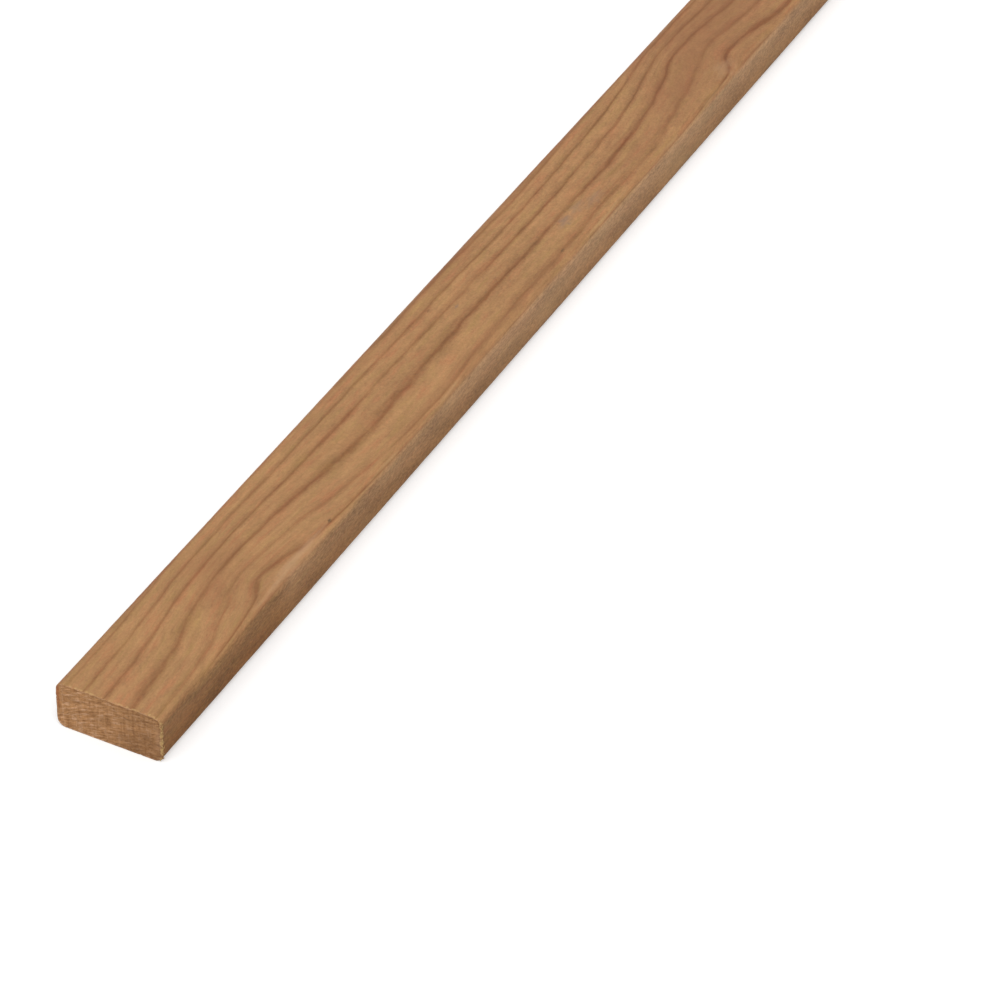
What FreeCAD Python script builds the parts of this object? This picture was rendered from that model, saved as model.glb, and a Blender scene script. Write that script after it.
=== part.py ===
"""A planed timber decking board: one sawn length of solid wood with four rounded long edges.

The board lies flat. X runs along its length, Y across its width and Z up through its thickness.
The origin is in the middle of the underside, which is the face that rests on the joists.
"""

import FreeCAD
import Part

import math
import os

# Driving dimensions, in millimetres.
BOARD_LENGTH = 1800.0
BOARD_WIDTH = 60.0
BOARD_THICKNESS = 28.0
# The planer's knives leave all four long edges with this one radius.
EDGE_RADIUS = 5.0

PARTS_FOLDER = "parts"
CUBIC_MM_PER_LITRE = 1e6


def point(x, y, z):
    """A point of the board's own frame."""
    return FreeCAD.Vector(x, y, z)


def rounded_corner(x, centre_y, centre_z, start_angle, radius):
    """A quarter circle of the section, turning on from start_angle (radians), and its two ends."""
    on_circle = [
        point(
            x,
            centre_y + radius * math.cos(start_angle + turned),
            centre_z + radius * math.sin(start_angle + turned),
        )
        for turned in (0.0, math.pi / 4, math.pi / 2)
    ]
    return Part.Arc(*on_circle).toShape(), on_circle[0], on_circle[-1]


def planed_section(x, width, thickness, radius):
    """The closed outline of the section at x: a rectangle standing on Z = 0, its four corners rounded."""
    inner_y = width / 2 - radius
    low_z = radius
    high_z = thickness - radius
    corner_centres = [
        (inner_y, high_z),
        (-inner_y, high_z),
        (-inner_y, low_z),
        (inner_y, low_z),
    ]
    corners = [
        rounded_corner(x, centre_y, centre_z, quarter * math.pi / 2, radius)
        for quarter, (centre_y, centre_z) in enumerate(corner_centres)
    ]
    edges = []
    for index, (arc, _, arc_end) in enumerate(corners):
        next_start = corners[(index + 1) % len(corners)][1]
        edges.append(arc)
        edges.append(Part.LineSegment(arc_end, next_start).toShape())
    return Part.Wire(edges)


def decking_board(length, width, thickness, radius):
    """The whole board: its section swept straight from one square-sawn end to the other."""
    section = planed_section(-length / 2, width, thickness, radius)
    return Part.Face(section).extrude(point(length, 0, 0))


def main():
    """Makes the board's one solid and writes it."""
    os.makedirs(PARTS_FOLDER, exist_ok=True)
    board = decking_board(BOARD_LENGTH, BOARD_WIDTH, BOARD_THICKNESS, EDGE_RADIUS)
    board.exportStep(os.path.join(PARTS_FOLDER, "board.step"))
    litres = board.Volume / CUBIC_MM_PER_LITRE
    print(f"board: {board.ShapeType}, valid {board.isValid()}, {litres:.4f} litres")


main()
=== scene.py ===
"""The looks of one planed timber decking board: its skin, its torn fibres, the wood's finishes, a studio.

Everything is in metres in the board's own frame: X along the length, Y across the width and Z up, with the
origin in the middle of the underside. The near end is the one at the lowest X, and the right side the one
at the lowest Y. Sizes are written in millimetres times MM.
"""

import logging
import math
from abc import ABC, abstractmethod
from dataclasses import dataclass
from enum import Enum
from functools import partial, reduce
from typing import Union

import bpy
import numpy as np
from mathutils import Matrix, Vector


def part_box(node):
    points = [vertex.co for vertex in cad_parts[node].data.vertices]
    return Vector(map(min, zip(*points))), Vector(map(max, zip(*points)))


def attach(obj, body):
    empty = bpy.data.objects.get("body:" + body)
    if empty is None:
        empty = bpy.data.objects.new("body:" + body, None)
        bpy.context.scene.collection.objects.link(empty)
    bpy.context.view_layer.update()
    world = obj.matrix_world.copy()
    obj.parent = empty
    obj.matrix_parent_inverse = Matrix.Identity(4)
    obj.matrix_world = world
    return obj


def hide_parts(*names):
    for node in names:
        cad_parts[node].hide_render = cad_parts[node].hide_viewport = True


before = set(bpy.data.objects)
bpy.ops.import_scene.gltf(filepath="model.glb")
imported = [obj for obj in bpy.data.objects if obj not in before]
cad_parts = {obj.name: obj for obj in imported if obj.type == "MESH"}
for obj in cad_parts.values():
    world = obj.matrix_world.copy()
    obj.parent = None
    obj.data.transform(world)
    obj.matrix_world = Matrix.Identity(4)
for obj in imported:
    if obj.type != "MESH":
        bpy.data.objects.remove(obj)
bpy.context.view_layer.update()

MM = 0.001
BOARD_NODE = "board"
BODY = "root"
EDGE_RADIUS = 5.0 * MM

# Names of what the meshes carry for their finishes.
RINGS = "rings"
FIBRE = "fibre"
TORN = "torn"
TURN = "turn"
INSET = "inset"
# The export bakes through a piece's own layout where it has this name.
LAYOUT = "OFBake"

Colour = tuple[float, float, float, float]
Socket = bpy.types.NodeSocket
Sockets = dict[str, Socket]
Feed = Union[float, tuple, Socket]

log = logging.getLogger("decking")


def tint(red: int, green: int, blue: int) -> Colour:
    """Turns a colour as seen on a screen into the linear one that a shader takes.

    Args:
        red: Red from 0 to 255.
        green: Green from 0 to 255.
        blue: Blue from 0 to 255.

    Returns:
        The linear colour with an alpha of 1.
    """
    seen = np.array([red, green, blue]) / 255
    linear = np.where(seen <= 0.04045, seen / 12.92, ((seen + 0.055) / 1.055) ** 2.4)
    return (*linear.tolist(), 1.0)


@dataclass(frozen=True)
class Ripples:
    """A smooth and seeded unevenness that fills space.

    Its value is a sum of plane waves, cos(k . p + phase), with random directions, phases and lengths, and
    is scaled to spread by about 1 on either side of 0.
    """

    seed: int
    lengths: tuple[float, float, float]
    waves: int = 28
    # How many waves fit in the given lengths, at the least and at the most.
    fit: tuple[float, float] = (0.6, 1.6)

    def at(self, places: np.ndarray) -> np.ndarray:
        """Works the unevenness out at each place.

        Args:
            places: Points, with X, Y and Z along the last axis.

        Returns:
            One value for each point.
        """
        rng = np.random.default_rng(self.seed)
        ways = rng.normal(size=(self.waves, 3))
        ways *= rng.uniform(*self.fit, (self.waves, 1)) / np.linalg.norm(ways, axis=1, keepdims=True)
        numbers = 2 * np.pi * ways / np.array(self.lengths)
        phases = rng.uniform(0, 2 * np.pi, self.waves)
        return np.cos(places @ numbers.T + phases).sum(axis=-1) * math.sqrt(2 / self.waves)


@dataclass(frozen=True)
class Swell:
    """A bulge of the growth rings over a buried knot, steep towards the near end and long behind it.

    The lift is height * exp(-(ahead / reach)^2 - (aside / spread)^2), where ahead runs along the board from
    the knot, aside across it, and reach is shorter before the knot than after it.
    """

    from_end: float
    near_reach: float
    far_reach: float
    height: float
    middle_y: float
    spread: float

    @classmethod
    def in_mm(cls, *sizes: float) -> "Swell":
        """Makes a swell from its sizes in millimetres, in the order of the fields."""
        return cls(*(size * MM for size in sizes))

    def lift(self, from_end: np.ndarray, y: np.ndarray) -> np.ndarray:
        """Gives how far the rings are pushed outwards.

        Args:
            from_end: Distances from the near end.
            y: Places across the board.

        Returns:
            The lift at each place.
        """
        ahead = from_end - self.from_end
        reach = np.where(ahead < 0, self.near_reach, self.far_reach)
        return self.height * np.exp(-((ahead / reach) ** 2) - ((y - self.middle_y) / self.spread) ** 2)


@dataclass(frozen=True)
class TreeGrain:
    """Where the board was cut from its tree: rings round a pith that runs below and beside the board.

    The ring number at a point is (first_ring - r) / ring_width, with r its distance from the pith less the
    lift of the swells, the lean of the pith and a slow wander. Each whole number is a ring's dark line.
    """

    length: float
    thickness: float
    pith_y: float = -51.9 * MM
    pith_below_top: float = 166.7 * MM
    ring_width: float = 3.4 * MM
    first_ring: float = 182.7 * MM
    lean: float = 0.0044
    # How far fibres slide round the pith for each unit that a swell lifts them.
    sweep: float = 3.0
    wander: float = 0.24 * MM
    tremble: float = 0.05 * MM
    slow: Ripples = Ripples(11, (150 * MM, 90 * MM, 90 * MM))
    quick: Ripples = Ripples(12, (34 * MM, 16 * MM, 16 * MM))
    swells: tuple[Swell, ...] = (
        Swell.in_mm(105, 43, 130, 6.6, -80, 82),
        Swell.in_mm(116, 15, 78, 2.6, -18, 10.5),
        Swell.in_mm(200, 200, 200, -3.0, -18, 17),
        Swell.in_mm(290, 50, 50, 0.5, -6, 12),
        Swell.in_mm(487, 107, 200, -1.6, -1, 150),
        Swell.in_mm(645, 42, 77, 2.9, 19, 20),
        Swell.in_mm(656, 26, 40, 1.2, 5, 13),
        Swell.in_mm(670, 19, 41, 2.4, -20, 17),
        Swell.in_mm(905, 80, 120, -2.2, 10, 90),
        Swell.in_mm(1178, 22, 58, 3.1, 24, 22),
        Swell.in_mm(1420, 90, 110, -2.6, -20, 70),
        Swell.in_mm(1612, 26, 70, 3.0, -24, 24),
    )

    def lift(self, places: np.ndarray) -> np.ndarray:
        """Adds up what pushes the rings outwards: lean, swells and wander.

        Args:
            places: Points, with X, Y and Z along the last axis.

        Returns:
            The lift at each point.
        """
        from_end = places[..., 0] + self.length / 2
        wandered = self.wander * self.slow.at(places)
        trembled = self.tremble * self.quick.at(places)
        swelled = sum(swell.lift(from_end, places[..., 1]) for swell in self.swells)
        return self.lean * from_end + swelled + wandered + trembled

    def rings(self, places: np.ndarray) -> np.ndarray:
        """Gives the ring number at each point, which falls outwards from the pith."""
        return (self.first_ring - self.fibre(places)[..., 1] * MM) / self.ring_width

    def fibre(self, places: np.ndarray) -> np.ndarray:
        """Straightens the tree: gives each point's place along, out from and round the pith.

        Args:
            places: Points, with X, Y and Z along the last axis.

        Returns:
            Three numbers for each point, in millimetres: along the fibre, out from the pith, and round it.
        """
        across = places[..., 1] - self.pith_y
        above = places[..., 2] - (self.thickness - self.pith_below_top)
        lift = self.lift(places)
        outward = np.hypot(across, above) - lift
        around = np.arctan2(across, above) * self.pith_below_top - self.sweep * lift
        return np.stack([places[..., 0] + self.length / 2, outward, around], axis=-1) / MM


class Side(Enum):
    """The four stretches of the board's outline in order, each as its outward and onward (Y, Z) way."""

    TOP = ((0, 1), (-1, 0))
    RIGHT = ((-1, 0), (0, -1))
    UNDERSIDE = ((0, -1), (1, 0))
    LEFT = ((1, 0), (0, 1))


class End(Enum):
    """The board's two sawn ends, each as the way it faces along X."""

    NEAR = -1
    FAR = 1


@dataclass(frozen=True)
class Outline:
    """The planed section: a rectangle standing on Z = 0 whose four corners are quarter circles."""

    width: float
    thickness: float
    radius: float
    across_cells: int = 60
    upright_cells: int = 28

    def cells(self, side: Side) -> int:
        """Gives how many cells a stretch is divided into."""
        return self.across_cells if side in (Side.TOP, Side.UNDERSIDE) else self.upright_cells

    def stretch(self, side: Side) -> tuple[np.ndarray, np.ndarray]:
        """Works out one stretch, from the middle of one rounded corner to the middle of the next.

        With s the distance along the stretch from its middle, core is s held within the flat, the angle
        turned is (s - core) / radius, and the point lies core + radius * sin(angle) onward and
        radius * (1 - cos(angle)) in from the flat.

        Args:
            side: Which stretch.

        Returns:
            Points and outward normals, each as (Y, Z), without the stretch's last point.
        """
        flat_side = side in (Side.TOP, Side.UNDERSIDE)
        reach = (self.width if flat_side else self.thickness) / 2 - self.radius
        height = (self.thickness if flat_side else self.width) / 2
        half_way = reach + self.radius * math.pi / 4
        along = np.linspace(-half_way, half_way, self.cells(side) + 1)[:-1]
        core = np.clip(along, -reach, reach)
        turned = (along - core) / self.radius
        onward = core + self.radius * np.sin(turned)
        outward = height - self.radius * (1 - np.cos(turned))
        out_way, on_way = np.array(side.value)
        middle = np.array([0.0, self.thickness / 2])
        points = middle + outward[:, None] * out_way + onward[:, None] * on_way
        normals = np.cos(turned)[:, None] * out_way + np.sin(turned)[:, None] * on_way
        return points, normals

    def whole(self) -> tuple[np.ndarray, np.ndarray]:
        """Joins the four stretches into one closed outline.

        Returns:
            Points and outward normals, each as (Y, Z), clockwise as seen from the near end.
        """
        stretches = [self.stretch(side) for side in Side]
        return np.concatenate([s[0] for s in stretches]), np.concatenate([s[1] for s in stretches])

    def inset(self, y: np.ndarray, z: np.ndarray) -> np.ndarray:
        """Gives how far points of the section lie inside its outline.

        With q the distance beyond the rectangle that the corner centres span, it is radius - |q| outside
        that rectangle, and radius plus the distance to the nearest side of it inside.

        Args:
            y: Places across.
            z: Heights above the underside.

        Returns:
            The depth inside the outline, 0 on it.
        """
        q_y = np.abs(y) - (self.width / 2 - self.radius)
        q_z = np.abs(z - self.thickness / 2) - (self.thickness / 2 - self.radius)
        outside = np.hypot(np.maximum(q_y, 0), np.maximum(q_z, 0))
        inside = np.minimum(np.maximum(q_y, q_z), 0)
        return self.radius - outside - inside


def piece_from(name: str, points: np.ndarray, faces: np.ndarray) -> bpy.types.Object:
    """Makes an object at the origin from points and faces.

    Args:
        name: The piece's name.
        points: Vertices, one row each.
        faces: Vertex numbers, one row for each face, which all have as many corners.

    Returns:
        The new object, linked to the scene and shaded smooth.
    """
    mesh = bpy.data.meshes.new(name)
    mesh.from_pydata(points.tolist(), [], faces.tolist())
    mesh.polygons.foreach_set("use_smooth", np.ones(len(faces), dtype=bool))
    mesh.update()
    piece = bpy.data.objects.new(name, mesh)
    bpy.context.scene.collection.objects.link(piece)
    return piece


def carry(piece: bpy.types.Object, name: str, values: np.ndarray) -> None:
    """Stores one number or one vector for each vertex of a piece.

    Args:
        piece: The object.
        name: The attribute's name.
        values: One value for each vertex, or one row of three.
    """
    vector = values.ndim == 2
    kind, key = ("FLOAT_VECTOR", "vector") if vector else ("FLOAT", "value")
    attribute = piece.data.attributes.new(name, kind, "POINT")
    attribute.data.foreach_set(key, values.astype(np.float32).ravel())


class NodeSheet:
    """One node tree being drawn up: it adds nodes, feeds their inputs and hands back their outputs."""

    def __init__(self, tree: bpy.types.NodeTree) -> None:
        """Starts with the given tree."""
        self.tree = tree

    def add(self, kind: str, feeds: dict | None = None, **settings: object) -> bpy.types.Node:
        """Adds one node.

        Args:
            kind: The node's type without its ShaderNode prefix.
            feeds: What each input gets, by its name or number.
            settings: Properties of the node.

        Returns:
            The node.
        """
        node = self.tree.nodes.new("ShaderNode" + kind)
        for key, value in settings.items():
            setattr(node, key, value)
        for key, feed in (feeds or {}).items():
            self.feed(node.inputs[key], feed)
        return node

    def feed(self, socket: Socket, feed: Feed) -> None:
        """Joins an output to an input, or sets the input's own value."""
        if isinstance(feed, Socket):
            self.tree.links.new(feed, socket)
        else:
            socket.default_value = feed

    def math(self, operation: str, *feeds: Feed, clamp: bool = False) -> Socket:
        """Adds a Math node and gives its output."""
        node = self.add("Math", dict(enumerate(feeds)), operation=operation, use_clamp=clamp)
        return node.outputs[0]

    def total(self, *feeds: Feed) -> Socket:
        """Adds up any number of values."""
        return reduce(partial(self.math, "ADD"), feeds)

    def product(self, *feeds: Feed) -> Socket:
        """Multiplies any number of values."""
        return reduce(partial(self.math, "MULTIPLY"), feeds)

    def line(self, value: Feed, slope: Feed, start: Feed) -> Socket:
        """Gives start + slope * value."""
        return self.math("MULTIPLY_ADD", value, slope, start)

    def about(self, value: Feed, middle: float, swing: float) -> Socket:
        """Turns a value that runs from 0 to 1 into one that swings on both sides of a middle."""
        return self.line(value, 2 * swing, middle - swing)

    def step(self, value: Feed, low: float, high: float) -> Socket:
        """Eases from 0 at low to 1 at high, which may also be the lower of the two."""
        feeds = {"Value": value, "From Min": low, "From Max": high}
        if low > high:
            feeds = {"Value": value, "From Min": high, "From Max": low, "To Min": 1.0, "To Max": 0.0}
        return self.add("MapRange", feeds, interpolation_type="SMOOTHSTEP").outputs[0]

    def peak(self, value: Feed, middle: float, reach: float) -> Socket:
        """Rises smoothly to 1 at a middle and falls to 0 at a reach on both sides of it."""
        away = self.math("ABSOLUTE", self.math("SUBTRACT", value, middle))
        return self.step(away, reach, 0.0)

    def scaled(self, place: Feed, *factors: float) -> Socket:
        """Multiplies a vector's three parts by three factors."""
        return self.add("VectorMath", {0: place, 1: factors}, operation="MULTIPLY").outputs[0]

    def noise(
        self, place: Feed, rates: tuple[float, ...], detail: float = 2.0, roughness: float = 0.5
    ) -> Socket:
        """Adds a noise that changes along each part of a place at its own rate."""
        scaled = self.scaled(place, *rates)
        feeds = {"Vector": scaled, "Scale": 1.0, "Detail": detail, "Roughness": roughness}
        return self.add("TexNoise", feeds).outputs["Fac"]

    def ramp(self, value: Feed, stops: tuple[tuple[float, float], ...]) -> Socket:
        """Bends a value through straight stretches.

        Args:
            value: What is bent.
            stops: Pairs of a place on the ramp and the grey there, in order.

        Returns:
            The bent value.
        """
        node = self.add("ValToRGB", {"Fac": value})
        elements = node.color_ramp.elements
        while len(elements) < len(stops):
            elements.new(1.0)
        for element, (place, grey) in zip(elements, stops):
            element.position = place
            element.color = (grey, grey, grey, 1.0)
        return node.outputs["Color"]

    def mix(self, share: Feed, first: Feed, second: Feed, mode: str = "MIX") -> Socket:
        """Mixes two colours."""
        node = self.add("Mix", data_type="RGBA", blend_type=mode)
        colours = [socket for socket in node.inputs if socket.type == "RGBA"]
        self.feed(node.inputs[0], share)
        self.feed(colours[0], first)
        self.feed(colours[1], second)
        return next(socket for socket in node.outputs if socket.type == "RGBA")

    def lay(self, under: Feed, over: Feed, mask: Feed, share: Feed) -> Socket:
        """Lays one colour over another, by a share of what a mask says."""
        return self.mix(self.product(mask, share), under, over)

    def brighten(self, colour: Feed, factor: Feed) -> Socket:
        """Multiplies a colour by a value."""
        return self.add("VectorMath", {0: colour, "Scale": factor}, operation="SCALE").outputs[0]

    def bump(self, height: Feed, strength: float, distance: float) -> Socket:
        """Gives the normal of a surface that a height from 0 to 1 roughens."""
        return self.add("Bump", {"Height": height, "Strength": strength, "Distance": distance}).outputs[0]

    def carried(self, name: str, output: str = "Fac") -> Socket:
        """Reads what a mesh carries under a name, as one number or as a Vector."""
        return self.add("Attribute", attribute_name=name, attribute_type="GEOMETRY").outputs[output]

    def own_place(self) -> Socket:
        """Reads the object's own coordinates, in metres."""
        return self.add("TexCoord").outputs["Object"]

    def parts(self, place: Feed) -> Sockets:
        """Takes a vector apart, into X, Y and Z."""
        return self.add("SeparateXYZ", {0: place}).outputs


class SharedEffect(ABC):
    """A shader node group that is built once and placed in each finish that needs it."""

    name: str
    inputs: tuple[tuple[str, str], ...]
    outputs: tuple[tuple[str, str], ...]

    @abstractmethod
    def draw(self, sheet: NodeSheet, given: Sockets) -> dict[str, Feed]:
        """Draws the inside of the group.

        Args:
            sheet: The group's tree.
            given: The group's inputs by name.

        Returns:
            What each output gets, by name.
        """

    def tree(self) -> bpy.types.NodeTree:
        """Gives the group, which is built the first time.

        Returns:
            The node group.
        """
        if self.name in bpy.data.node_groups:
            return bpy.data.node_groups[self.name]
        tree = bpy.data.node_groups.new(self.name, "ShaderNodeTree")
        for label, kind in self.inputs:
            tree.interface.new_socket(label, in_out="INPUT", socket_type="NodeSocket" + kind)
        for label, kind in self.outputs:
            tree.interface.new_socket(label, in_out="OUTPUT", socket_type="NodeSocket" + kind)
        sheet = NodeSheet(tree)
        entry = tree.nodes.new("NodeGroupInput")
        leave = tree.nodes.new("NodeGroupOutput")
        given = {label: entry.outputs[label] for label, _ in self.inputs}
        for label, feed in self.draw(sheet, given).items():
            sheet.feed(leave.inputs[label], feed)
        return tree

    def place(self, sheet: NodeSheet, **feeds: Feed) -> Sockets:
        """Places the group in a finish.

        Args:
            sheet: The finish's tree.
            feeds: What each input gets, by its name in lower case with underscores.

        Returns:
            The group's outputs by name.
        """
        node = sheet.add("Group", node_tree=self.tree())
        for label, _ in self.inputs:
            key = label.lower().replace(" ", "_")
            if key in feeds:
                sheet.feed(node.inputs[label], feeds[key])
        return {label: node.outputs[label] for label, _ in self.outputs}


class GrowthRings(SharedEffect):
    """The dark line that ends each year's growth. It fades in on its outer side and stops short inside."""

    name = "growth_rings"
    inputs = (("Rings", "Float"), ("Fibre", "Vector"))
    outputs = (("Line", "Float"), ("Streak", "Float"))

    # How dark the line is through one ring, from one line at 0 to the next at 1.
    one_ring = (
        (0.0, 1.0),
        (0.04, 0.84),
        (0.1, 0.42),
        (0.17, 0.16),
        (0.27, 0.03),
        (0.4, 0.08),
        (0.48, 0.14),
        (0.56, 0.07),
        (0.68, 0.14),
        (0.78, 0.28),
        (0.87, 0.42),
        (0.94, 0.7),
        (1.0, 1.0),
    )
    # How strong each year's line is, from the outermost ring in the board inwards.
    years = (0.8, 0.75, 0.85, 0.95, 1.1, 0.6, 1.15, 0.75, 0.9, 0.7, 1.0, 0.75, 0.9, 0.8, 0.9)
    # A ramp's greys end at 1, so it holds each strength as a share of this one.
    strongest = 2.0
    outermost = -1.0

    def draw(self, sheet: NodeSheet, given: Sockets) -> dict[str, Feed]:
        """Draws lines at whole ring numbers, each with its year's strength, and faint streaks between them.

        Args:
            sheet: The group's tree.
            given: The ring number and the place along, out from and round the pith.

        Returns:
            The line's darkness and the streaks, both from 0 to 1.
        """
        place = given["Fibre"]
        jitter = sheet.noise(place, (0.06, 0.5, 0.35), detail=4.0, roughness=0.68)
        rings = sheet.math("ADD", given["Rings"], sheet.about(jitter, 0.0, 0.15))
        profile = sheet.ramp(sheet.math("FRACT", rings), self.one_ring)
        last = len(self.years) - 1
        year = sheet.math("DIVIDE", sheet.math("SUBTRACT", rings, self.outermost), last, clamp=True)
        stops = tuple((n / last, strength / self.strongest) for n, strength in enumerate(self.years))
        own = sheet.ramp(year, stops)
        along = sheet.noise(place, (0.022, 0.2, 0.05))
        strength = sheet.product(own, self.strongest, sheet.about(along, 0.96, 0.55))
        return {
            "Line": sheet.math("MULTIPLY", profile, strength, clamp=True),
            "Streak": sheet.noise(place, (0.03, 1.2, 0.1), detail=3.0, roughness=0.6),
        }


class FibreGrain(SharedEffect):
    """What lies along the grain: clouds, mottling, streaks, fine fibres, reddish patches and pores."""

    name = "fibre_grain"
    inputs = (("Fibre", "Vector"),)
    # How fast each noise changes along, out from and round the pith, its detail and its roughness.
    noises = {
        "Cloud": ((0.018, 0.1, 0.07), 2.0, 0.5),
        "Mottle": ((0.12, 0.36, 0.26), 3.0, 0.6),
        "Streak": ((0.032, 0.8, 0.6), 3.0, 0.6),
        "Fine": ((0.62, 1.0, 0.9), 2.0, 0.7),
        "Pore": ((0.24, 1.6, 1.3), 1.0, 0.5),
        "Redness": ((0.04, 0.4, 0.22), 4.0, 0.75),
    }
    outputs = tuple((label, "Float") for label in noises)
    open_pore = (0.66, 0.76)

    def draw(self, sheet: NodeSheet, given: Sockets) -> dict[str, Feed]:
        """Draws noises that are each stretched along the grain by their own amount.

        Args:
            sheet: The group's tree.
            given: The place along, out from and round the pith, in millimetres.

        Returns:
            Noises from 0 to 1, and pores that are 1 where open.
        """
        drawn = {label: sheet.noise(given["Fibre"], *noise) for label, noise in self.noises.items()}
        return drawn | {"Pore": sheet.step(drawn["Pore"], *self.open_pore)}


class TornEdge(SharedEffect):
    """Where fibres are torn at a sawn end: what the mesh carries, frayed into short fingers."""

    name = "torn_edge"
    inputs = (("Torn", "Float"), ("Place", "Vector"))
    outputs = (("Mask", "Float"),)
    colour = tint(202, 168, 112)
    share = 0.62

    def draw(self, sheet: NodeSheet, given: Sockets) -> dict[str, Feed]:
        """Adds a noise to what the mesh carries, and cuts the sum off sharply.

        Args:
            sheet: The group's tree.
            given: How torn the wood is, and the object's own coordinates in metres.

        Returns:
            A mask that is 1 where torn.
        """
        fingers = sheet.noise(given["Place"], (300.0, 300.0, 1000.0), detail=3.0, roughness=0.6)
        frayed = sheet.step(sheet.math("ADD", given["Torn"], sheet.about(fingers, 0.0, 1.5)), 0.35, 0.8)
        return {"Mask": sheet.product(frayed, sheet.step(given["Torn"], 0.0, 0.2))}

    def lay(self, sheet: NodeSheet, place: Feed, wood: Feed) -> Socket:
        """Lays the paler torn wood over a finish.

        Args:
            sheet: The finish's tree.
            place: The object's own coordinates.
            wood: The colour of wood that isn't torn.

        Returns:
            The colour of both.
        """
        mask = self.place(sheet, torn=sheet.carried(TORN), place=place)["Mask"]
        return sheet.lay(wood, self.colour, mask, self.share)


@dataclass(frozen=True)
class Stain:
    """A small mark on the wood: a soft oval, broken up by noise."""

    from_end: float
    y: float
    length: float
    width: float
    colour: Colour
    strength: float

    def lay(self, sheet: NodeSheet, place: Feed, board_length: float, colour: Feed) -> Socket:
        """Lays the mark over a colour on the top face.

        Args:
            sheet: The finish's tree.
            place: The object's own coordinates.
            board_length: The board's length, from whose near end the mark is measured.
            colour: What is under the mark.

        Returns:
            The marked colour.
        """
        middle = (self.from_end - board_length / 2, self.y, 0.0)
        half_sizes = (self.length / 2, self.width / 2, 1.0)
        feeds = {"Vector": place, "Location": middle, "Scale": half_sizes}
        centred = sheet.add("Mapping", feeds, vector_type="TEXTURE").outputs[0]
        flat = sheet.scaled(centred, 1.0, 1.0, 0.0)
        away = sheet.add("VectorMath", {0: flat}, operation="LENGTH").outputs["Value"]
        broken = sheet.about(sheet.noise(flat, (1.4, 1.4, 1.0), detail=4.0), 0.0, 1.1)
        on_top = sheet.step(sheet.parts(centred)["Z"], 20 * MM, 24 * MM)
        mask = sheet.product(sheet.step(sheet.math("ADD", away, broken), 1.2, 0.1), on_top)
        return sheet.lay(colour, self.colour, mask, self.strength)


@dataclass(frozen=True)
class Timber:
    """The wood itself: its early and late colours and how strongly each kind of grain shows."""

    early: Colour = tint(178, 134, 90)
    late: Colour = tint(118, 70, 36)
    # What redder and yellower patches are multiplied by.
    redder: Colour = (1.05, 0.89, 0.92, 1.0)
    yellower: Colour = (0.95, 1.03, 0.92, 1.0)
    ring_contrast: float = 0.68

    def colour(
        self, sheet: NodeSheet, rings: Sockets, grain: Sockets, ring_share: Feed, vivid: Feed
    ) -> Socket:
        """Mixes the wood's colour.

        Args:
            sheet: The finish's tree.
            rings: The outputs of the growth rings.
            grain: The outputs of the fibre grain.
            ring_share: How much of the rings' contrast shows, from 0 to 1.
            vivid: What the contrast of the rings and of the fine grain is multiplied by.

        Returns:
            The colour.
        """
        shown = sheet.product(ring_share, vivid, self.ring_contrast)
        lines = sheet.product(rings["Line"], shown)
        between = sheet.about(rings["Streak"], 0.0, 0.16)
        soft = sheet.about(grain["Streak"], 0.0, 0.22)
        share = sheet.math("ADD", sheet.total(lines, between, soft), 0.1, clamp=True)
        wood = sheet.mix(share, self.early, self.late)
        wood = sheet.mix(sheet.step(grain["Redness"], 0.48, 0.72), wood, self.redder, "MULTIPLY")
        wood = sheet.mix(sheet.step(grain["Redness"], 0.52, 0.28), wood, self.yellower, "MULTIPLY")
        mottle = sheet.about(grain["Mottle"], 0.0, 0.24)
        fine = sheet.math("ADD", mottle, sheet.about(grain["Fine"], 0.0, 0.3))
        return sheet.brighten(wood, sheet.line(fine, vivid, sheet.about(grain["Cloud"], 1.0, 0.16)))


class Finish(ABC):
    """One material, whose Principled shader gets what the finish draws."""

    name: str

    @abstractmethod
    def draw(self, sheet: NodeSheet) -> dict[str, Feed]:
        """Draws the finish.

        Args:
            sheet: The material's tree.

        Returns:
            What each of the shader's inputs gets, by name.
        """

    def material(self) -> bpy.types.Material:
        """Builds the finish.

        Returns:
            The material.
        """
        material = bpy.data.materials.new(self.name)
        material.use_nodes = True
        sheet = NodeSheet(material.node_tree)
        shader = sheet.tree.nodes["Principled BSDF"]
        for label, feed in self.draw(sheet).items():
            sheet.feed(shader.inputs[label], feed)
        return material


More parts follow.
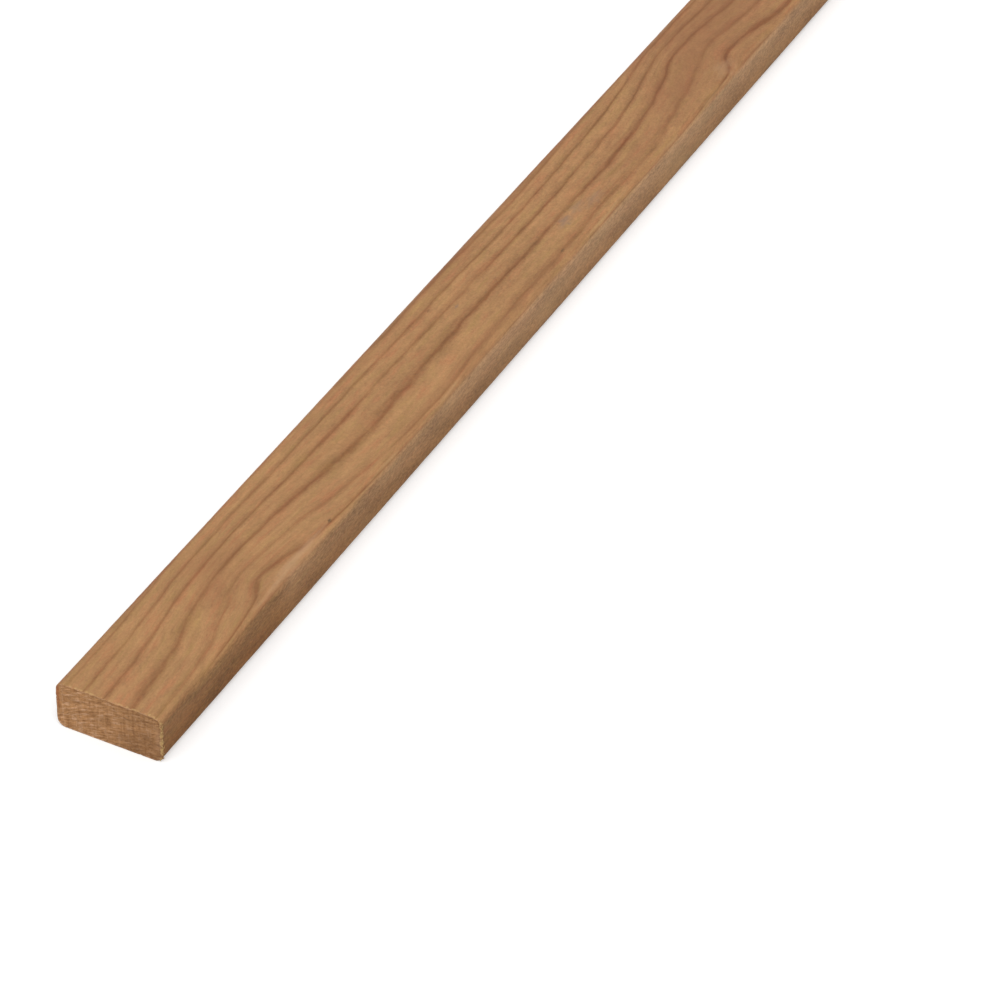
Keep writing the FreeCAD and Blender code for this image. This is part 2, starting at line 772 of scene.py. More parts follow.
@dataclass(frozen=True)
class PlanedFinish(Finish):
    """The long faces: planed top and underside, rounded edges, and rougher and duller side faces."""

    timber: Timber
    length: float
    side_colour: Colour = tint(160, 127, 97)
    # Painted shade that the side faces are multiplied by near the ends, and low down towards the underside.
    end_shade: Colour = (0.60, 0.56, 0.50, 1.0)
    underside_shade: Colour = (0.78, 0.695, 0.585, 1.0)
    # The painted highlight that lies in stripes along the rounded edges.
    edge_highlight_colour: Colour = tint(196, 164, 120)
    relief: float = 0.14 * MM
    # How far from an end the painted shade on the side faces reaches, in millimetres along the fibre.
    end_shade_reach: tuple[float, float] = (420.0, 100.0)
    # Where that painted shade deepens further, close to an end, in the same measure.
    end_shade_deepest: tuple[float, float] = (128.0, 108.0)
    # How far from the near end the grain is still faded, in the same measure.
    faded: tuple[float, float] = (120.0, 720.0)
    # Heights over which the painted shade low on the side faces fades in, towards the underside.
    underside_shade_height: tuple[float, float] = (25 * MM, 4 * MM)
    # What the rounded left edge is multiplied by, and how far across that fades in.
    ruddy: Colour = (0.92, 0.76, 0.62, 1.0)
    ruddy_y: tuple[float, float] = (25.5 * MM, 28.5 * MM)

    name = "planed_timber"

    def stains(self) -> tuple[Stain, ...]:
        """Lists the small marks on the top face, among them a painted shade and a painted highlight of the
        grain's sheen, with their places and sizes in millimetres.
        """
        grey, dark = tint(128, 108, 94), tint(84, 66, 44)
        dense_and_shade, pale = tint(140, 92, 60), tint(196, 158, 122)
        marks = (
            # Painted shade: a darker, redder patch over the near swell, where the grain's sheen turns away.
            (112, 3, 60, 58, dense_and_shade, 0.3),
            (690, 0.0, 310, 90, dense_and_shade, 0.52),
            (450, 26.0, 460, 12, dense_and_shade, 0.36),
            (340, -24.5, 240, 9, dense_and_shade, 0.3),
            # Painted highlight: a pale lens of sheen under the arch near the right edge.
            (136, -26.5, 76, 7, pale, 0.42),
            (650, -22, 26, 14, pale, 0.25),
            (466, -10.8, 15, 8, grey, 0.55),
            (481, -10.5, 20, 8, grey, 0.35),
            (494, -15.0, 22, 8, grey, 0.35),
            (440, -22.5, 6, 2.0, dark, 0.6),
            (172, -26.0, 3.6, 2.4, dark, 0.8),
            (355, 15.5, 4.0, 1.8, dark, 0.45),
            (366, 4.0, 5.0, 2.0, grey, 0.6),
        )
        return tuple(Stain(*(size * MM for size in mark[:4]), *mark[4:]) for mark in marks)

    def edge_light_bands(self, sheet: NodeSheet, turn: Feed, fibre: Feed, to_end: Feed) -> tuple[Socket, Socket]:
        """Draws painted highlights and painted shade in stripes along a rounded edge, in patches, but not
        close to an end.

        Args:
            sheet: The finish's tree.
            turn: Quarter turns from facing up.
            fibre: The place along, out from and round the pith.
            to_end: Millimetres from the nearer end.

        Returns:
            How pale and how dark the stripes are, from 0 to 1.
        """
        patches = sheet.noise(fibre, (0.014, 0.05, 0.05), detail=3.0)
        shown = sheet.product(sheet.step(patches, 0.46, 0.64), sheet.step(to_end, 70.0, 180.0))
        waver = sheet.noise(fibre, (0.011, 0.0, 0.0), detail=4.0)
        turn = sheet.math("ADD", turn, sheet.about(waver, -0.04, 0.45))
        pale = sheet.math("ADD", sheet.peak(turn, 0.33, 0.15), sheet.peak(turn, 0.82, 0.2))
        dark = sheet.math("ADD", sheet.peak(turn, 0.56, 0.14), sheet.peak(turn, 0.14, 0.08))
        return sheet.product(pale, shown), sheet.product(dark, shown)

    def dull_and_shade(self, sheet: NodeSheet, wood: Feed, place: Feed, upright: Feed, to_end: Feed) -> Socket:
        """Dulls the side faces, darkens them with painted shade near the ends and low down, and reddens the
        left edge.

        Args:
            sheet: The finish's tree.
            wood: The clean colour.
            place: The object's own coordinates.
            upright: 1 on the side faces and 0 on the others.
            to_end: Millimetres from the nearer end.

        Returns:
            The colour, dulled, with its painted shade and its reddened left edge.
        """
        axes = sheet.parts(place)
        # Painted shade: the side faces darken near both ends, and more so close to them.
        end_shade_far = sheet.product(sheet.step(to_end, *self.end_shade_reach), 0.55)
        end_shading = sheet.line(sheet.step(to_end, *self.end_shade_deepest), 0.45, end_shade_far)
        # The side faces' duller colour is their own; how much it grows away from the ends follows the
        # painted shade and stands in for cooler light there.
        dulling = sheet.product(upright, sheet.line(end_shading, -0.5, 0.7))
        wood = sheet.mix(dulling, wood, self.side_colour)
        # Painted shade: the side faces darken towards the underside.
        low = sheet.product(sheet.step(axes["Z"], *self.underside_shade_height), upright)
        held = sheet.product(end_shading, upright, sheet.line(low, 0.14, 0.86))
        wood = sheet.mix(held, wood, self.end_shade, "MULTIPLY")
        left = sheet.product(sheet.step(axes["Y"], *self.ruddy_y), sheet.step(upright, 0.6, 0.1))
        wood = sheet.mix(left, wood, self.ruddy, "MULTIPLY")
        return sheet.mix(low, wood, self.underside_shade, "MULTIPLY")

    def draw(self, sheet: NodeSheet) -> dict[str, Feed]:
        """Draws the wood and its marks, and then its painted shade, its painted edge highlights and its
        torn ends.

        Args:
            sheet: The material's tree.

        Returns:
            What each of the shader's inputs gets, by name.
        """
        place = sheet.own_place()
        fibre = sheet.carried(FIBRE, "Vector")
        turn = sheet.carried(TURN)
        rings = GrowthRings().place(sheet, rings=sheet.carried(RINGS), fibre=fibre)
        grain = FibreGrain().place(sheet, fibre=fibre)
        upright = sheet.product(sheet.step(turn, 0.4, 0.85), sheet.step(turn, 1.6, 1.15))
        along = sheet.parts(fibre)["X"]
        to_end = sheet.math("MINIMUM", along, sheet.math("SUBTRACT", self.length / MM, along))
        vivid = sheet.line(sheet.step(along, *self.faded), 0.37, 0.83)
        wood = self.timber.colour(sheet, rings, grain, sheet.line(upright, -0.66, 1.0), vivid)
        for stain in self.stains():
            wood = stain.lay(sheet, place, self.length, wood)
        wood = self.dull_and_shade(sheet, wood, place, upright, to_end)

        rough = sheet.noise(fibre, (0.36, 0.8, 0.8), detail=3.0, roughness=0.7)
        patchy = sheet.noise(fibre, (0.03, 0.09, 0.09))
        # Painted highlights and painted shade in stripes along the rounded edges.
        pale, dark = self.edge_light_bands(sheet, turn, fibre, to_end)
        shade = sheet.total(sheet.about(rough, 0.0, 0.9), sheet.about(patchy, 0.26, 0.5))
        shade = sheet.line(upright, shade, 1.0)
        shade = sheet.line(grain["Pore"], -0.1, shade)
        # Painted shade: the rounded lower edges darken as they turn to face down.
        shade = sheet.line(sheet.step(turn, 1.0, 1.6), -0.12, shade)
        shade = sheet.line(dark, -0.06, shade)
        wood = sheet.lay(sheet.brighten(wood, shade), self.edge_highlight_colour, pale, 0.27)
        splits = sheet.step(sheet.noise(fibre, (0.2, 0.7, 0.6), detail=3.0), 0.46, 0.6)
        rim = sheet.product(sheet.step(to_end, 1.1, 0.2), splits)
        wood = sheet.lay(wood, TornEdge.colour, rim, 0.45)
        height = sheet.total(
            sheet.product(grain["Fine"], 0.8),
            sheet.product(rings["Line"], 0.3),
            sheet.product(grain["Pore"], -0.5),
            sheet.product(rough, upright, 2.6),
        )
        return {
            "Base Color": TornEdge().lay(sheet, place, wood),
            "Roughness": sheet.line(upright, 0.2, sheet.about(grain["Fine"], 0.6, 0.08)),
            "Specular IOR Level": 0.22,
            "Normal": sheet.bump(height, 0.8, self.relief),
        }


@dataclass(frozen=True)
class SawnFinish(Finish):
    """The sawn ends: rings seen end on, fibres torn by the teeth, and paler wood at the broken edges."""

    sawn_colour: Colour = tint(177, 130, 87)
    dark_colour: Colour = tint(112, 72, 42)
    pale_colour: Colour = tint(206, 164, 130)
    # A strip down the left edge that the saw has scorched.
    edge_colour: Colour = tint(158, 92, 56)
    relief: float = 0.35 * MM

    name = "sawn_end_grain"

    def draw(self, sheet: NodeSheet) -> dict[str, Feed]:
        """Draws the bare sawn wood, and lays what the saw did to it on top, layer by layer.

        Args:
            sheet: The material's tree.

        Returns:
            What each of the shader's inputs gets, by name.
        """
        place = sheet.own_place()
        y, z = (sheet.parts(place)[axis] for axis in "YZ")
        fibre = sheet.carried(FIBRE, "Vector")
        inset = sheet.carried(INSET)
        line = GrowthRings().place(sheet, rings=sheet.carried(RINGS), fibre=fibre)["Line"]
        patches = sheet.noise(fibre, (0.0, 0.16, 0.09))
        strokes = sheet.noise(fibre, (0.0, 0.8, 0.18), detail=4.0, roughness=0.6)
        tears = sheet.noise(fibre, (0.0, 0.9, 0.5), detail=4.0, roughness=0.7)
        upright = sheet.noise(place, (0.0, 620.0, 100.0), detail=3.0, roughness=0.6)
        left = sheet.step(y, -26 * MM, 20 * MM)
        # Painted shade: a dark band just inside the rim, in patches, where the broken edge turns away from
        # the light.
        under = sheet.product(sheet.peak(inset, 1.5 * MM, 0.8 * MM), sheet.step(patches, 0.4, 0.6))
        rim = sheet.product(sheet.step(inset, 1.2 * MM, 0.2 * MM), sheet.step(tears, 0.42, 0.56))
        scorched = sheet.product(sheet.step(y, 27.2 * MM, 28.6 * MM), sheet.step(z, 8 * MM, 20 * MM))
        score = sheet.product(sheet.peak(y, 26.2 * MM, 0.6 * MM), sheet.step(tears, 0.38, 0.56))
        low_right = sheet.product(sheet.step(z, 24 * MM, 6 * MM), sheet.step(y, 4 * MM, -20 * MM))
        loose = sheet.product(sheet.step(y, -24.5 * MM, -28.5 * MM), sheet.peak(z, 14 * MM, 11 * MM))
        layers = (
            (self.dark_colour, line, 0.25),
            (self.pale_colour, sheet.step(strokes, 0.5, 0.68), sheet.line(left, 0.45, 0.4)),
            (self.dark_colour, sheet.step(strokes, 0.48, 0.32), 0.48),
            (self.dark_colour, sheet.step(tears, 0.46, 0.26), 0.66),
            (self.dark_colour, sheet.step(upright, 0.48, 0.3), 0.36),
            (self.pale_colour, sheet.step(upright, 0.54, 0.72), 0.36),
            (self.dark_colour, under, 0.42),
            (self.pale_colour, rim, 0.6),
            (self.edge_colour, scorched, 0.6),
            (self.pale_colour, score, 0.5),
            (self.dark_colour, low_right, 0.3),
        )
        wood = self.sawn_colour
        for colour, mask, share in layers:
            wood = sheet.lay(wood, colour, mask, share)
        light = sheet.total(sheet.about(patches, 0.5, 0.36), sheet.about(tears, 0.4, 0.4))
        wood = sheet.brighten(wood, sheet.line(left, 0.16, light))
        wood = sheet.lay(wood, self.pale_colour, loose, 0.25)
        height = sheet.total(strokes, tears, sheet.product(line, 0.2))
        return {
            "Base Color": TornEdge().lay(sheet, place, wood),
            "Roughness": sheet.about(tears, 0.82, 0.1),
            "Specular IOR Level": 0.15,
            "Normal": sheet.bump(height, 0.9, self.relief),
        }


@dataclass(frozen=True)
class TornFinish(Finish):
    """Loose fibres at the broken edge: fresh wood, paler and yellower than the planed faces."""

    pale: Colour = tint(204, 172, 116)
    deep: Colour = tint(160, 118, 74)
    # How fast its patches change, to the metre.
    rate: float = 900.0

    name = "torn_fibre"

    def draw(self, sheet: NodeSheet) -> dict[str, Feed]:
        """Draws patches of the two colours.

        Args:
            sheet: The material's tree.

        Returns:
            What each of the shader's inputs gets, by name.
        """
        patches = sheet.noise(sheet.own_place(), (self.rate,) * 3)
        return {
            "Base Color": sheet.mix(sheet.step(patches, 0.35, 0.65), self.pale, self.deep),
            "Roughness": sheet.about(patches, 0.75, 0.12),
            "Specular IOR Level": 0.2,
        }


@dataclass(frozen=True)
class Board:
    """The whole board as one closed skin: four planed faces with rounded edges, between two sawn ends."""

    length: float
    outline: Outline
    grain: TreeGrain
    # Cells along the board grow from the first at an end by this ratio, up to the longest.
    first_cell: float = 0.22 * MM
    cell_ratio: float = 1.28
    longest_cell: float = 3.8 * MM
    # How many more cells half the board takes than of the longest, as the first are shorter.
    spare_cells: int = 8
    planed_relief: float = 0.05 * MM
    side_relief: float = 0.09 * MM
    side_ripples: Ripples = Ripples(22, (7 * MM, 5 * MM, 5 * MM))
    edge_dents: float = 0.05 * MM
    dent_ripples: Ripples = Ripples(23, (60 * MM, 30 * MM, 30 * MM))
    # The saw's relief, and how far in from the rim of an end it reaches its full depth.
    saw_relief: float = 0.16 * MM
    saw_inset: float = 1.5 * MM
    scores: Ripples = Ripples(24, (1.0, 26 * MM, 2.4 * MM))
    tears: Ripples = Ripples(25, (1.0, 3.5 * MM, 2.0 * MM))
    # The radius that handling gives a sawn end's edge, and how much more it has lost where it is chipped.
    broken_edge: float = 0.22 * MM
    chip: float = 0.7 * MM
    chip_ripples: Ripples = Ripples(21, (9 * MM, 3.2 * MM, 2.6 * MM))
    # What the chips' ripples reach where a chip begins, on the right edge and elsewhere.
    chip_starts: tuple[float, float] = (-0.5, 1.5)
    # How much more they reach where the chip is at its deepest.
    chip_rise: float = 1.2
    # How far torn wood reaches back along the faces from a chip, and in over the end.
    torn_back: float = 1.9 * MM
    torn_in: float = 1.5 * MM
    # What it is at the edge itself, where anything above 1 counts as 1.
    torn_most: float = 1.3
    sharpest: float = math.radians(55)
    layout_strips: int = 3
    layout_gap: float = 4 * MM
    layout_margin: float = 0.004

    def stations(self) -> np.ndarray:
        """Spaces the sections along the board.

        The cell lengths are first_cell * cell_ratio^n, held at longest_cell, from each end to the middle,
        and are then scaled to fill the length.

        Returns:
            Places along X, from the near end to the far end.
        """
        half_count = math.ceil(self.length / 2 / self.longest_cell) + self.spare_cells
        cells = np.minimum(self.first_cell * self.cell_ratio ** np.arange(half_count), self.longest_cell)
        inner = np.cumsum(cells) <= self.length / 2
        cells = np.concatenate([cells[inner], cells[inner][::-1]])
        marks = np.concatenate([[0.0], np.cumsum(cells)])
        return marks / marks[-1] * self.length - self.length / 2

    def chips(self, places: np.ndarray) -> np.ndarray:
        """Says where a sawn end's edge is chipped, more on the upright right edge of the near end.

        Args:
            places: Points, with X, Y and Z along the last axis.

        Returns:
            One value from 0 to 1 for each point.
        """
        width, thickness, radius = self.outline.width, self.outline.thickness, self.outline.radius
        right = (places[..., 1] < -width / 2 + radius * 0.2) & (places[..., 0] < 0)
        right &= places[..., 2] < thickness - radius * 0.8
        starts = np.where(right, *self.chip_starts)
        return np.clip((self.chip_ripples.at(places) - starts) / self.chip_rise, 0, 1)

    def skin(self) -> tuple[np.ndarray, np.ndarray]:
        """Carries the outline along the board and works its relief into it.

        Each point lies on the outline, drawn in along the normal by the grain's relief, by the roughness of
        the sides, by dents on the rounded edges, and by b - sqrt(b^2 - (b - d)^2) within b of an end, with
        d the distance from that end and b the radius of its broken edge.

        Returns:
            Points as (section, place round it, XYZ), and how torn each is from 0 to 1.
        """
        x = self.stations()
        points, normals = self.outline.whole()
        grid = np.empty((len(x), len(points), 3))
        grid[..., 0] = x[:, None]
        grid[..., 1:] = points
        sink = self.planed_relief * (0.5 - 0.5 * np.cos(2 * np.pi * self.grain.rings(grid)))
        uneven = 1 + self.side_ripples.at(grid) * 0.5
        sink += self.side_relief * np.abs(normals[:, 0]) ** 4 * uneven.clip(0)
        # This is 1 halfway round a corner and 0 on the flats.
        rounding = 2 * np.abs(normals[:, 0] * normals[:, 1])
        sink += self.edge_dents * rounding * self.dent_ripples.at(grid).clip(0, 2)
        chips = self.chips(grid)
        broken = self.broken_edge + self.chip * chips
        from_end = self.length / 2 - np.abs(grid[..., 0])
        gap = np.clip(broken - from_end, 0, broken)
        sink += broken - np.sqrt(broken**2 - gap**2)
        grid[..., 1:] -= sink[..., None] * normals
        torn = chips * np.clip(self.torn_most - from_end / self.torn_back, 0, 1)
        return grid, torn

    def end_cap(self, end: End, rim: np.ndarray) -> np.ndarray:
        """Fills an end with a grid of points between its four rim stretches.

        It is a Coons patch: the blend of the top and underside stretches, plus that of the left and right
        ones, less that of the four corners. The saw's relief then draws the inner points into the board.

        Args:
            end: Which end.
            rim: The skin's last section there, as (place round it, XYZ).

        Returns:
            Points as (across, down, XYZ), with the rim's own points at its border.
        """
        numbers = self.rim_numbers()
        across, down = (n - 1 for n in numbers.shape)
        s = np.linspace(0, 1, across + 1)[:, None, None]
        t = np.linspace(0, 1, down + 1)[None, :, None]
        top, bottom = rim[numbers[:, 0]][:, None], rim[numbers[:, -1]][:, None]
        left, right = rim[numbers[0]][None], rim[numbers[-1]][None]
        corners = (1 - t) * ((1 - s) * top[0] + s * top[-1]) + t * ((1 - s) * bottom[0] + s * bottom[-1])
        cap = (1 - t) * top + t * bottom + (1 - s) * left + s * right - corners
        inner = np.clip(self.outline.inset(cap[..., 1], cap[..., 2]) / self.saw_inset, 0, 1)
        section = cap * (0, 1, 1)
        uneven = 1 + self.scores.at(section) * 0.5 + self.tears.at(section) * 0.5
        cap[..., 0] -= end.value * inner * self.saw_relief * uneven.clip(0)
        return cap

    def rim_numbers(self) -> np.ndarray:
        """Numbers the rim's points as an end cap meets them.

        Returns:
            A grid of places round the outline, (across, down), whose inner entries are -1.
        """
        across, down = self.outline.across_cells, self.outline.upright_cells
        around = 2 * (across + down)
        numbers = np.full((across + 1, down + 1), -1)
        numbers[:, 0] = np.arange(across + 1)
        numbers[-1] = across + np.arange(down + 1)
        numbers[:, -1] = 2 * across + down - np.arange(across + 1)
        numbers[0] = (around - np.arange(down + 1)) % around
        return numbers

    def faces(self, sections: int) -> tuple[np.ndarray, np.ndarray]:
        """Numbers the corners of every face.

        Args:
            sections: How many sections the skin has.

        Returns:
            The faces, each turned outwards, and whether each is part of a sawn end.
        """
        around = 2 * (self.outline.across_cells + self.outline.upright_cells)
        skin = np.arange(sections * around).reshape(sections, around)
        onward = np.roll(skin, -1, axis=1)
        made = [np.stack([skin[:-1], onward[:-1], onward[1:], skin[1:]], axis=-1).reshape(-1, 4)]
        first_new = skin.size
        for end in End:
            grid = self.rim_numbers()
            rim = skin[0] if end is End.NEAR else skin[-1]
            fresh = grid < 0
            grid = rim[grid]
            grid[fresh] = first_new + np.arange(fresh.sum())
            first_new += fresh.sum()
            corners = [grid[:-1, :-1], grid[:-1, 1:], grid[1:, 1:], grid[1:, :-1]]
            cells = np.stack(corners, axis=-1).reshape(-1, 4)
            made.append(cells if end is End.NEAR else cells[:, ::-1])
        faces = np.concatenate(made)
        return faces, np.arange(len(faces)) >= len(made[0])

    def build(self) -> bpy.types.Object:
        """Builds the board with all that its finishes read.

        Returns:
            The object, with no materials yet.
        """
        skin, torn = self.skin()
        rings = [skin.reshape(-1, 3)]
        marks = [torn.ravel()]
        fresh = self.rim_numbers() < 0
        for end in End:
            cap = self.end_cap(end, skin[0] if end is End.NEAR else skin[-1])[fresh]
            inset = self.outline.inset(cap[:, 1], cap[:, 2])
            rings.append(cap)
            torn_to = np.clip(self.torn_most - inset / self.torn_in, 0, 1)
            marks.append(self.chips(cap) * torn_to)
        points = np.concatenate(rings)
        faces, sawn = self.faces(len(skin))
        piece = piece_from("planed_board", points, faces)
        piece.data.polygons.foreach_set("material_index", sawn.astype(np.int32))
        piece.data.set_sharp_from_angle(angle=self.sharpest)
        layer = piece.data.uv_layers.new(name=LAYOUT)
        layer.uv.foreach_set("vector", self.layout(points, faces[sawn]).astype(np.float32).ravel())
        carry(piece, RINGS, self.grain.rings(points))
        carry(piece, FIBRE, self.grain.fibre(points))
        carry(piece, TORN, np.concatenate(marks))
        carry(piece, INSET, self.outline.inset(points[:, 1], points[:, 2]))
        carry(piece, TURN, self.turn(len(points)))
        return piece

    def layout(self, points: np.ndarray, end_faces: np.ndarray) -> np.ndarray:
        """Lays the board out flat, so that each face gets its own part of the map.

        The long faces are unrolled and cut into strips, which lie one above another, X across and the way
        round the outline up. Above them lie the two ends side by side.

        Args:
            points: The board's points.
            end_faces: The faces of both ends, near end first.

        Returns:
            Two numbers from 0 to 1 for each corner of each face.
        """
        x = self.stations() + self.length / 2
        outline, _ = self.outline.whole()
        steps = np.linalg.norm(np.roll(outline, -1, axis=0) - outline, axis=1)
        around = np.concatenate([[0.0], np.cumsum(steps)])
        row = around[-1] + self.layout_gap
        strip = ((x[:-1] + x[1:]) / 2 * self.layout_strips / self.length).astype(int)
        starts = x[np.searchsorted(strip, np.arange(self.layout_strips))]
        widest = np.diff(np.append(starts, self.length)).max()

        cells = np.empty((len(strip), len(steps), 4, 2))
        corner_x = np.stack([x[:-1], x[:-1], x[1:], x[1:]], axis=-1)[:, None]
        cells[..., 0] = corner_x - starts[strip][:, None, None]
        up = np.stack([around[:-1], around[1:], around[1:], around[:-1]], axis=-1)
        cells[..., 1] = up[None] + (strip * row)[:, None, None]

        ends = points[end_faces][..., 1:] + (self.outline.width / 2, self.layout_strips * row)
        ends[len(ends) // 2 :, :, 0] += self.outline.width + self.layout_gap
        tallest = self.layout_strips * row + self.outline.thickness
        places = np.concatenate([cells.reshape(-1, 4, 2), ends])
        return self.layout_margin + places / (widest, tallest) * (1 - 2 * self.layout_margin)

    def turn(self, count: int) -> np.ndarray:
        """Gives how far each point of the skin has turned from facing up, in quarter turns.

        Args:
            count: How many points the whole piece has. Those past the skin's own get 0.

        Returns:
            One value for each point: 0 on the top face, 1 on the sides and 2 on the underside.
        """
        _, normals = self.outline.whole()
        around = np.arctan2(np.abs(normals[:, 0]), normals[:, 1]) / (np.pi / 2)
        turned = np.zeros(count)
        sections = len(self.stations())
        turned[: sections * len(around)] = np.tile(around, sections)
        return turned

    def dress(self, piece: bpy.types.Object, planed: PlanedFinish, sawn: SawnFinish) -> None:
        """Gives the board its two finishes, in the order that its faces count them."""
        piece.data.materials.append(planed.material())
        piece.data.materials.append(sawn.material())


@dataclass(frozen=True)
class TornFringe:
    """Loose splinters along the upright right edge of the near end, where the saw came out of the wood."""

    length: float
    outline: Outline
    count: int = 96
    longest: float = 2.6 * MM
    shortest: float = 0.8 * MM
    thickest: float = 0.36 * MM
    # How far a splinter's root is sunk into the wood behind the end and the side.
    deepest_root: float = 0.5 * MM
    # How many lie back along the side. The others lie in over the end.
    share_back: float = 0.6
    # How many cells a splinter has along it and round it.
    along_cells: int = 6
    around_cells: int = 6
    seed: int = 33

    def build(self) -> bpy.types.Object:
        """Builds the splinters as tapered tubes, all in one mesh.

        With t from 0 at the root to 1 at the tip, a splinter's middle line is root + reach * (t * way + t^2
        * curl), and its radius is thick * (1 - t)^0.5, so that it closes at the tip. None leaves the box.

        Returns:
            The object, with no materials yet.
        """
        rng = np.random.default_rng(self.seed)
        n = self.count
        half_width, radius, thickness = self.outline.width / 2, self.outline.radius, self.outline.thickness
        z = rng.uniform(radius * 0.3, thickness - radius * 0.3, n)
        beyond = np.clip(np.abs(z - thickness / 2) - (thickness / 2 - radius), 0, radius)
        rounded = radius - np.sqrt(radius**2 - beyond**2)
        sunk = rng.uniform(0.3, 1.0, (2, n)) * self.deepest_root
        roots = np.stack([-self.length / 2 + sunk[0], -half_width + rounded + sunk[1], z], axis=1)
        reach = (self.shortest + (self.longest - self.shortest) * rng.power(0.7, n))[:, None, None]
        # Ways and curls are shares of the reach in X, Y and Z.
        back = [rng.uniform(0.3, 1.0, n), -rng.uniform(0.1, 0.3, n), rng.normal(-0.1, 0.4, n)]
        over = [-rng.uniform(0.1, 0.3, n), rng.uniform(0.0, 0.6, n), rng.normal(-0.1, 0.5, n)]
        lies_back = rng.uniform(size=(n, 1)) < self.share_back
        ways = np.where(lies_back, np.stack(back, axis=1), np.stack(over, axis=1))
        curls = [rng.uniform(-0.1, 0.2, n), rng.uniform(-0.2, 0.2, n), rng.normal(0, 0.4, n)]
        curls = np.stack(curls, axis=1)
        thick = rng.uniform(0.3, 1.0, n)[:, None, None] * self.thickest
        t = np.linspace(0, 1, self.along_cells + 1)[None, :, None]
        middle = roots[:, None] + reach * (t * ways[:, None] + t**2 * curls[:, None])
        tangent = ways[:, None] + 2 * t * curls[:, None]
        tangent /= np.linalg.norm(tangent, axis=-1, keepdims=True)
        side = np.cross(tangent, (0.3, 0.1, 1.0))
        side /= np.linalg.norm(side, axis=-1, keepdims=True)
        up = np.cross(tangent, side)
        turn = np.linspace(0, 2 * np.pi, self.around_cells, endpoint=False)[:, None]
        ring = side[:, :-1, None] * np.cos(turn) + up[:, :-1, None] * np.sin(turn)
        tubes = middle[:, :-1, None] + (thick * (1 - t[:, :-1]) ** 0.5)[:, :, None] * ring
        splinters = np.concatenate([tubes.reshape(n, -1, 3), middle[:, :1], middle[:, -1:]], axis=1)
        splinters = np.maximum(splinters, (-self.length / 2, -half_width, 0.0))
        splinters = np.minimum(splinters, (self.length / 2, half_width, thickness))
        step = splinters.shape[1]
        numbers = (self.faces()[None] + step * np.arange(n)[:, None, None]).reshape(-1, 3)
        return piece_from("torn_fringe", splinters.reshape(-1, 3), numbers)

    def faces(self) -> np.ndarray:
        """Numbers the triangles of one splinter.

        Returns:
            Corner numbers: the tube's walls, the fan that closes its root and the fan that closes its tip.
        """
        rows, around = self.along_cells, self.around_cells
        grid = np.arange(rows * around).reshape(rows, around)
        onward = np.roll(grid, -1, axis=1)
        a, b, c, d = grid[:-1], onward[:-1], onward[1:], grid[1:]
        walls = np.concatenate([np.stack(x, axis=-1).reshape(-1, 3) for x in ((a, b, c), (a, c, d))])
        root, tip = grid.size, grid.size + 1
        root_fan = np.stack([np.full(around, root), onward[0], grid[0]], axis=1)
        tip_fan = np.stack([np.full(around, tip), grid[-1], onward[-1]], axis=1)
        return np.concatenate([walls, root_fan, tip_fan])


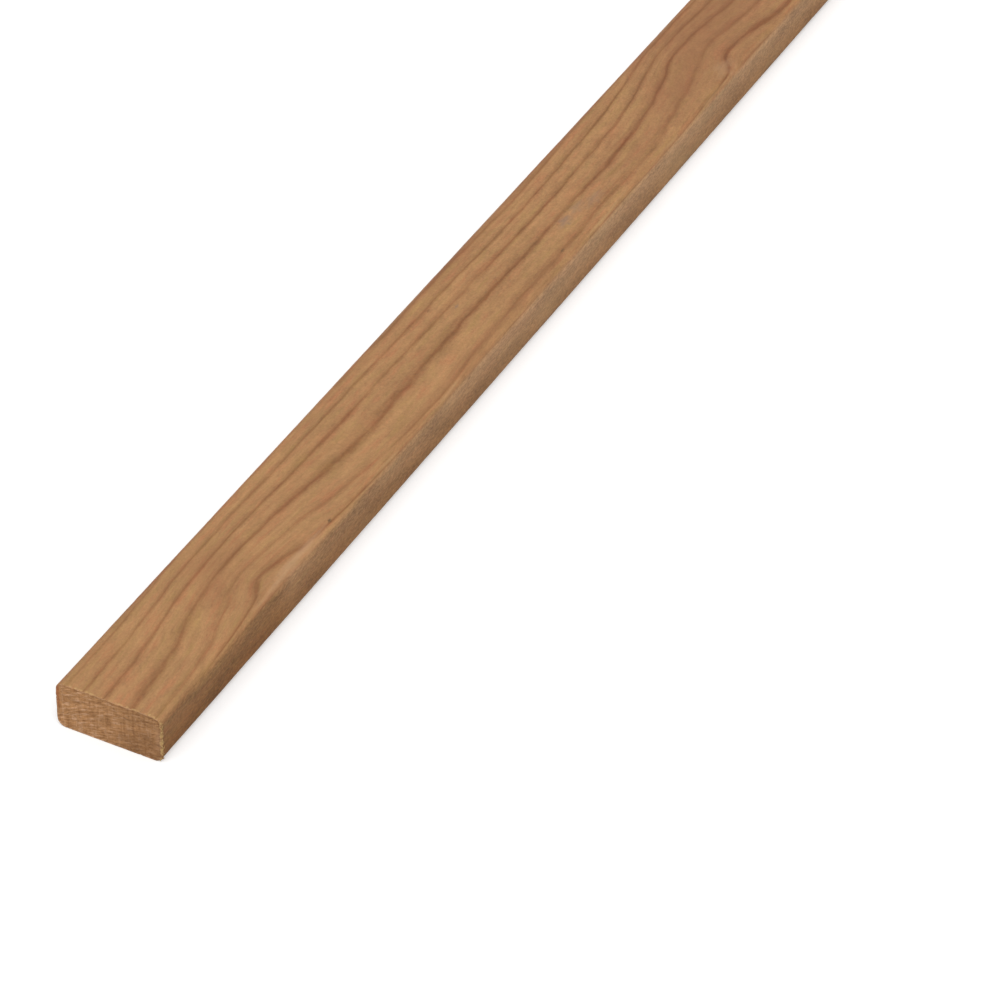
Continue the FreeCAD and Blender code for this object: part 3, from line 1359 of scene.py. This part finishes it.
@dataclass(frozen=True)
class Studio:
    """A plain white floor and a soft, even light."""

    sky: float = 0.60
    key: float = 0.54
    key_way: tuple[float, float, float] = (-0.36, -0.14, 0.50)
    key_softness: float = math.radians(70)
    floor_size: float = 60.0
    floor_gap: float = 0.05 * MM
    bounce: float = 0.5
    shown: float = 0.80
    glow: float = 0.34


    def build(self) -> None:
        """Builds the sky, the key light and the floor."""
        self.light_sky()
        lamp = bpy.data.lights.new("key", "SUN")
        lamp.energy = self.key * math.pi
        lamp.angle = self.key_softness
        key = bpy.data.objects.new("key", lamp)
        key.rotation_mode = "QUATERNION"
        key.rotation_quaternion = Vector(self.key_way).to_track_quat("Z", "Y")
        bpy.context.scene.collection.objects.link(key)
        self.lay_floor()

    def seen(self, sheet: NodeSheet) -> Socket:
        """Gives 1 to what the camera sees directly, in a gloss or through glass."""
        path = sheet.add("LightPath").outputs
        either = sheet.math("MAXIMUM", path["Is Camera Ray"], path["Is Glossy Ray"])
        return sheet.math("MAXIMUM", either, path["Is Transmission Ray"])

    def light_sky(self) -> None:
        """Lights the world evenly, and shows it white."""
        world = bpy.data.worlds.new("studio")
        world.use_nodes = True
        bpy.context.scene.world = world
        sheet = NodeSheet(world.node_tree)
        background = sheet.tree.nodes["Background"]
        background.inputs["Color"].default_value = (1, 1, 1, 1)
        gain = sheet.math("MULTIPLY_ADD", self.seen(sheet), 1 - self.sky, self.sky)
        sheet.feed(background.inputs["Strength"], gain)

    def lay_floor(self) -> None:
        """Lays the floor: white to the camera, with the board's shadow, and grey in what it throws back."""
        half = self.floor_size / 2
        corners = np.array([[-half, -half], [half, -half], [half, half], [-half, half]])
        points = np.column_stack([corners, np.full(4, -self.floor_gap)])
        floor = piece_from("floor", points, np.array([[0, 1, 2, 3]]))
        material = bpy.data.materials.new("floor_white")
        material.use_nodes = True
        sheet = NodeSheet(material.node_tree)
        sheet.tree.nodes.remove(sheet.tree.nodes["Principled BSDF"])
        thrown = sheet.add("BsdfDiffuse", {"Color": (self.bounce,) * 3 + (1,)})
        shown = sheet.add("BsdfDiffuse", {"Color": (self.shown,) * 3 + (1,)})
        glow = sheet.add("Emission", {"Color": (1, 1, 1, 1), "Strength": self.glow})
        white = sheet.add("AddShader", {0: shown.outputs[0], 1: glow.outputs[0]})
        both = sheet.add("MixShader", {0: self.seen(sheet), 1: thrown.outputs[0], 2: white.outputs[0]})
        sheet.feed(sheet.tree.nodes["Material Output"].inputs["Surface"], both.outputs[0])
        floor.data.materials.append(material)


@dataclass(frozen=True)
class Viewpoint:
    """The camera: above the near end, looking along the board as it runs away to the upper right."""

    eye: tuple[float, float, float] = (-2.24321, -0.89051, 1.42699)
    right: tuple[float, float, float] = (0.46214, -0.88669, 0.01440)
    up: tuple[float, float, float] = (0.54636, 0.29747, 0.78294)
    back: tuple[float, float, float] = (-0.69851, -0.35396, 0.62193)
    lens: float = 158.70
    sensor: float = 36.0
    nearest: float = 0.05
    farthest: float = 200.0

    def build(self) -> None:
        """Makes the scene's camera."""
        data = bpy.data.cameras.new("viewpoint")
        data.lens, data.sensor_width = self.lens, self.sensor
        data.clip_start, data.clip_end = self.nearest, self.farthest
        camera = bpy.data.objects.new("viewpoint", data)
        axes = Matrix((self.right, self.up, self.back)).transposed().to_4x4()
        camera.matrix_world = Matrix.Translation(self.eye) @ axes
        bpy.context.scene.collection.objects.link(camera)
        bpy.context.scene.camera = camera


def report(piece: bpy.types.Object) -> None:
    """Logs a finished piece's name and size."""
    piece.data.calc_loop_triangles()
    log.info("%s: %d triangles", piece.name, len(piece.data.loop_triangles))


def main() -> None:
    """Builds the camera, the studio and the board in order, and reports each piece."""
    logging.basicConfig(level=logging.INFO, format="%(name)s: %(message)s")
    bpy.context.scene.view_settings.view_transform = "Standard"
    Viewpoint().build()
    Studio().build()

    low, high = (np.array(corner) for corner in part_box(BOARD_NODE))
    length, width, thickness = high - low
    outline = Outline(width, thickness, EDGE_RADIUS)
    board = Board(length, outline, TreeGrain(length, thickness))
    skin = board.build()
    board.dress(skin, PlanedFinish(Timber(), length), SawnFinish())
    fringe = TornFringe(length, outline).build()
    fringe.data.materials.append(TornFinish().material())
    for piece in (skin, fringe):
        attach(piece, BODY)
        report(piece)
    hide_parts(BOARD_NODE)


if __name__ == "__main__":
    main()
